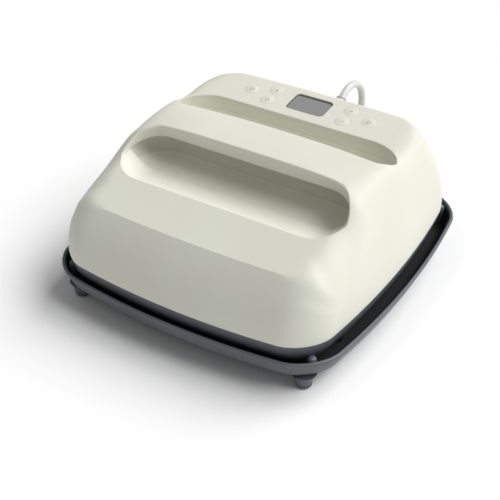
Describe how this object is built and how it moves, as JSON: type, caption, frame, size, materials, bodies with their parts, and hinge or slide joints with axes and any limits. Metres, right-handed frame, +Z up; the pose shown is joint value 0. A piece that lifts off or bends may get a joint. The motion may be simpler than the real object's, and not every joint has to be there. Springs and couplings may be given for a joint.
{
  "type": "heat press",
  "caption": "Handheld craft heat press with a bridge handle, round touch keys, a small display and a square heated plate, resting in its own insulated base.",
  "frame": {"origin": "centre of the safety base's outline, on the surface its feet stand on", "axes": "+Z up, +Y to the back, where the cord leaves; the grip side faces -Y; +X to the right"},
  "size_m": [0.3588, 0.4094, 0.1426],
  "materials": {
    "tray_plastic": "matte",
    "foot_rubber": "matte",
    "liner_board": "matte",
    "pad_silicone": "matte",
    "housing_plastic": "satin",
    "insert_plastic": "matte",
    "skirt_plastic": "satin",
    "plate_coating": "satin",
    "element_steel": "satin",
    "mineral_wool": "matte",
    "shield_aluminium": "satin",
    "phenolic": "matte",
    "brass": "satin",
    "ceramic": "satin",
    "window_plastic": "gloss",
    "black_plastic": "satin",
    "circuit_board": "satin",
    "blue_plastic": "satin",
    "green_plastic": "satin",
    "winding": "satin",
    "glass_tube": "gloss",
    "red_wire": "satin",
    "grey_wire": "satin",
    "green_wire": "satin",
    "screw_steel": "satin",
    "cord_pvc": "satin"
  },
  "bodies": {
    "base": {"base_tray": "tray_plastic", "foot_pads": "foot_rubber", "corner_guides": "tray_plastic", "base_liner": "liner_board", "rest_pads": "pad_silicone", "cord_coil": "cord_pvc", "cord_tail": "cord_pvc", "cord_tie": "black_plastic", "plug_body": "cord_pvc", "plug_pins": "brass"},
    "press": {"upper_housing": "housing_plastic", "front_scoop": "insert_plastic", "grip_insert": "insert_plastic", "rear_well": "insert_plastic", "lower_skirt": "skirt_plastic", "heat_plate": "plate_coating", "heating_element": "element_steel", "insulation_blanket": "mineral_wool", "heat_shield": "shield_aluminium", "plate_standoffs": "phenolic", "thermal_cutoff": "brass", "temperature_sensor": "ceramic", "sensor_wires": "grey_wire", "display_window": "window_plastic", "display_module": "black_plastic", "display_seal": "black_plastic", "control_board": "circuit_board", "control_chips": "black_plastic", "beeper": "black_plastic", "key_switches": "black_plastic", "power_board": "circuit_board", "board_spacers": "phenolic", "relay": "blue_plastic", "triac_heatsink": "shield_aluminium", "transformer": "winding", "capacitors": "black_plastic", "fuse": "glass_tube", "terminal_block": "green_plastic", "heater_leads": "red_wire", "ribbon_cable": "grey_wire", "earth_wire": "green_wire", "housing_screws": "screw_steel", "plate_screws": "screw_steel", "board_screws": "screw_steel", "strain_relief": "cord_pvc", "cord_clamp": "black_plastic", "power_cord": "cord_pvc"},
    "power_button": {"power_key": "housing_plastic"},
    "temperature_button": {"temperature_key": "housing_plastic"},
    "timer_button": {"timer_key": "housing_plastic"},
    "plus_button": {"plus_key": "housing_plastic"},
    "minus_button": {"minus_key": "housing_plastic"},
    "start_button": {"start_key": "housing_plastic"}
  },
  "joints": [
    {"name": "press_lift", "type": "slide", "parent": "base", "child": "press", "axis": [0, 0, 1], "range_m": [0, 0.06]},
    {"name": "power_press", "type": "slide", "parent": "press", "child": "power_button", "axis": [0, 0.0993, -0.9951], "range_m": [0, 0.0005], "stiffness_N_per_m": 3000},
    {"name": "temperature_press", "type": "slide", "parent": "press", "child": "temperature_button", "axis": [0, 0.0993, -0.9951], "range_m": [0, 0.0005], "stiffness_N_per_m": 3000},
    {"name": "timer_press", "type": "slide", "parent": "press", "child": "timer_button", "axis": [0, 0.0993, -0.9951], "range_m": [0, 0.0005], "stiffness_N_per_m": 3000},
    {"name": "plus_press", "type": "slide", "parent": "press", "child": "plus_button", "axis": [0, 0.0993, -0.9951], "range_m": [0, 0.0005], "stiffness_N_per_m": 3000},
    {"name": "minus_press", "type": "slide", "parent": "press", "child": "minus_button", "axis": [0, 0.0993, -0.9951], "range_m": [0, 0.0005], "stiffness_N_per_m": 3000},
    {"name": "start_press", "type": "slide", "parent": "press", "child": "start_button", "axis": [0, 0.0993, -0.9951], "range_m": [0, 0.0005], "stiffness_N_per_m": 3000}
  ]
}
